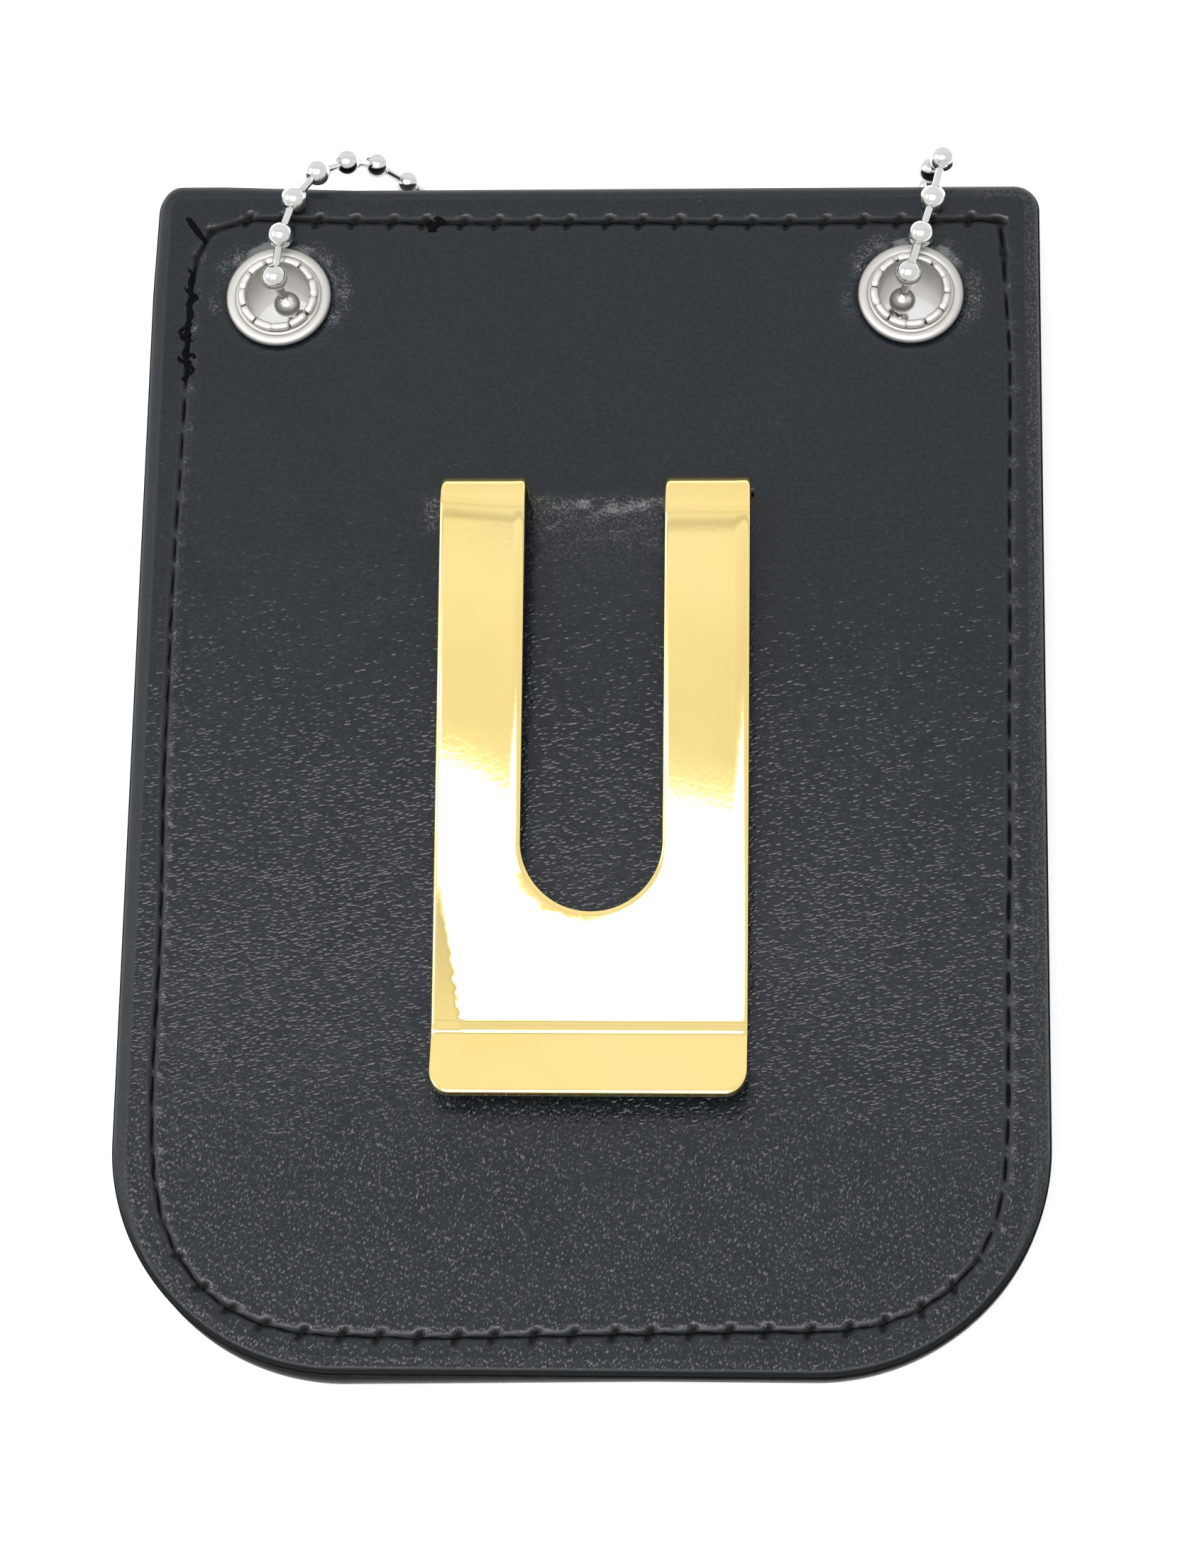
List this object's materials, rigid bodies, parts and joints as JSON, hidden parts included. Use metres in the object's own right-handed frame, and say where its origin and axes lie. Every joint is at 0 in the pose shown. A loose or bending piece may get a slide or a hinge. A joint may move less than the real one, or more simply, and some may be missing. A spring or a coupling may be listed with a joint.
{
  "type": "badge holder",
  "caption": "Black leather badge holder with a gold spring belt clip, two nickel eyelets and a ball neck chain, lying face down.",
  "frame": {"origin": "middle of the badge seat's front face, at the bottom of the front recess", "axes": "+Z out of the back, where the clip is, +Y to the edge with the eyelets, +X to the right as the back is seen"},
  "size_m": [0.08, 0.1133, 0.0165],
  "materials": {
    "cover_leather": "fine grained black leather, softly polished",
    "seat_leather": "fine grained black leather, matt",
    "lining_leather": "suede split",
    "board": "pressed fibreboard",
    "clip_metal": "bright gold plate",
    "eyelet_metal": "bright nickel plate",
    "chain_metal": "bright nickel plate, slightly worn",
    "tie_plastic": "matt black plastic"
  },
  "bodies": {
    "holder": {"front_cover": "cover_leather", "front_board": "board", "recess_spacer": "lining_leather", "badge_seat": "seat_leather", "seat_pad": "board", "back_lining": "lining_leather", "back_board": "board", "back_cover": "cover_leather", "clip_anchor": "clip_metal", "eyelet_left": "eyelet_metal", "eyelet_right": "eyelet_metal", "washer_left": "eyelet_metal", "washer_right": "eyelet_metal", "chain_right": "chain_metal", "chain_coil": "chain_metal", "chain_left": "chain_metal", "chain_front": "chain_metal", "chain_connector": "chain_metal", "chain_tie": "tie_plastic"},
    "clip": {"clip_tongue": "clip_metal"}
  },
  "joints": [
    {"name": "clip_flex", "type": "hinge", "parent": "holder", "child": "clip", "pos_m": [0.0008, 0.0242, 0.0067], "axis": [-1, 0, 0], "range_deg": [0, 10], "stiffness_Nm_per_rad": 0.55}
  ]
}
